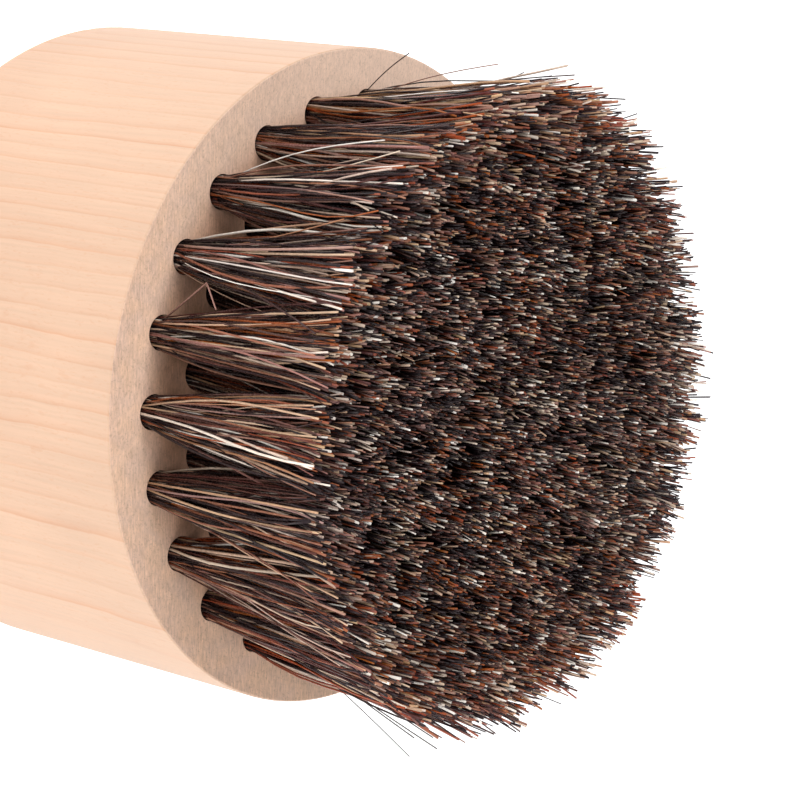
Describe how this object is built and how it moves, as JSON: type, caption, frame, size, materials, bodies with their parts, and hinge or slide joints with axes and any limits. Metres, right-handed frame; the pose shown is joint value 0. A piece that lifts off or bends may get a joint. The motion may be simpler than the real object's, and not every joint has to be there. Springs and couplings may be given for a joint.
{
  "type": "neck duster brush",
  "caption": "Round palm-held brush for whisking cut hair off a neck: a plain turned wooden block with dark, flat-trimmed natural hair set in rings of tufts.",
  "frame": {"origin": "centre of the block's flat back, which the brush stands on", "axes": "+Z along the block's axis, out of the drilled face towards the hair tips; +X is the direction that every anchor's length lies along"},
  "size_m": [0.06, 0.06, 0.0543],
  "materials": {
    "wood": "turned maple, sanded, thin matte oil",
    "hair": "mixed natural hair, black to chestnut with tan and grey strands, trimmed flat",
    "anchor_wire": "drawn flat wire"
  },
  "bodies": {
    "root": {"block": "wood", "tuft_outer_01": "hair", "tuft_outer_02": "hair", "tuft_outer_03": "hair", "tuft_outer_04": "hair", "tuft_outer_05": "hair", "tuft_outer_06": "hair", "tuft_outer_07": "hair", "tuft_outer_08": "hair", "tuft_outer_09": "hair", "tuft_outer_10": "hair", "tuft_outer_11": "hair", "tuft_outer_12": "hair", "tuft_outer_13": "hair", "tuft_outer_14": "hair", "tuft_outer_15": "hair", "tuft_outer_16": "hair", "tuft_outer_17": "hair", "tuft_outer_18": "hair", "tuft_outer_19": "hair", "tuft_outer_20": "hair", "tuft_outer_21": "hair", "tuft_outer_22": "hair", "tuft_outer_23": "hair", "tuft_second_01": "hair", "tuft_second_02": "hair", "tuft_second_03": "hair", "tuft_second_04": "hair", "tuft_second_05": "hair", "tuft_second_06": "hair", "tuft_second_07": "hair", "tuft_second_08": "hair", "tuft_second_09": "hair", "tuft_second_10": "hair", "tuft_second_11": "hair", "tuft_second_12": "hair", "tuft_second_13": "hair", "tuft_second_14": "hair", "tuft_second_15": "hair", "tuft_second_16": "hair", "tuft_second_17": "hair", "tuft_third_01": "hair", "tuft_third_02": "hair", "tuft_third_03": "hair", "tuft_third_04": "hair", "tuft_third_05": "hair", "tuft_third_06": "hair", "tuft_third_07": "hair", "tuft_third_08": "hair", "tuft_third_09": "hair", "tuft_third_10": "hair", "tuft_third_11": "hair", "tuft_third_12": "hair", "tufts_fourth": "hair", "tufts_core": "hair", "anchors_outer": "anchor_wire", "anchors_second": "anchor_wire", "anchors_third": "anchor_wire", "anchors_fourth": "anchor_wire", "anchors_core": "anchor_wire"}
  },
  "joints": []
}
